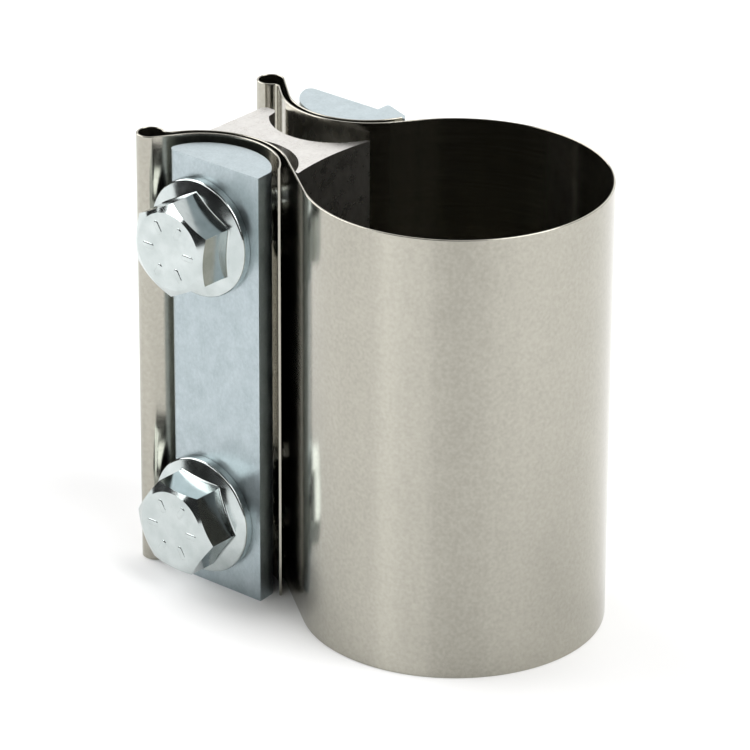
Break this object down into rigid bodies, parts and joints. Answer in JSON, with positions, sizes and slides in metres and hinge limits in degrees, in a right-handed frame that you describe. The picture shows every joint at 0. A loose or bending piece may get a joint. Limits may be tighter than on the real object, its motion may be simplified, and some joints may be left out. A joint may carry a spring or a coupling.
{
  "type": "pipe repair clamp",
  "caption": "Wide band clamp for joining or repairing a pipe: sheet ring with doubled flanges, an hourglass block, half-round bars, and bolts with nuts that draw it closed.",
  "frame": {"origin": "on the pipe's axis, at the level of the clamp's lower end, on which it stands", "axes": "+Z along the pipe; the flanges reach towards -X; the bolts lie along Y, heads at -Y and nuts at +Y"},
  "size_m": [0.081, 0.0591, 0.08],
  "materials": {
    "band_steel": "mill-rolled stainless sheet, satin, faint vertical roll marks",
    "block_steel": "cut steel section, dull satin",
    "bar_zinc": "clear zinc plate, satin with a cool cast",
    "fastener_zinc": "bright clear zinc plate"
  },
  "bodies": {
    "far_side": {"band_far_half": "band_steel", "nut_bar": "bar_zinc", "upper_nut": "fastener_zinc", "lower_nut": "fastener_zinc"},
    "near_band": {"band_near_half": "band_steel"},
    "block": {"reaction_block": "block_steel"},
    "bolt_side": {"bolt_bar": "bar_zinc"},
    "top_bolt": {"upper_bolt": "fastener_zinc"},
    "bottom_bolt": {"lower_bolt": "fastener_zinc"}
  },
  "joints": [
    {"name": "bolt_bar_draw", "type": "slide", "parent": "far_side", "child": "bolt_side", "axis": [0, 1, 0], "range_m": [-0.0015, 0.0015]},
    {"name": "upper_bolt_turn", "type": "hinge", "parent": "bolt_side", "child": "top_bolt", "pos_m": [-0.0385, 0, 0.0652], "axis": [0, 1, 0], "range_deg": [-361, 361]},
    {"name": "lower_bolt_turn", "type": "hinge", "parent": "bolt_side", "child": "bottom_bolt", "pos_m": [-0.0385, 0, 0.0132], "axis": [0, 1, 0], "range_deg": [-361, 361]},
    {"name": "band_flex", "type": "hinge", "parent": "far_side", "child": "near_band", "pos_m": [0.026, 0, 0], "axis": [0, 0, 1], "range_deg": [-1.27, 1.27]},
    {"name": "block_float", "type": "slide", "parent": "far_side", "child": "block", "axis": [0, 1, 0], "range_m": [-0.00112, 0.00112]}
  ],
  "couplings": [
    {"joint": "upper_bolt_turn", "follows": "bolt_bar_draw", "rad_per_m": 4188.8},
    {"joint": "lower_bolt_turn", "follows": "bolt_bar_draw", "rad_per_m": 4188.8},
    {"joint": "band_flex", "follows": "bolt_bar_draw", "rad_per_m": -14.6},
    {"joint": "block_float", "follows": "bolt_bar_draw", "ratio": 0.74}
  ]
}
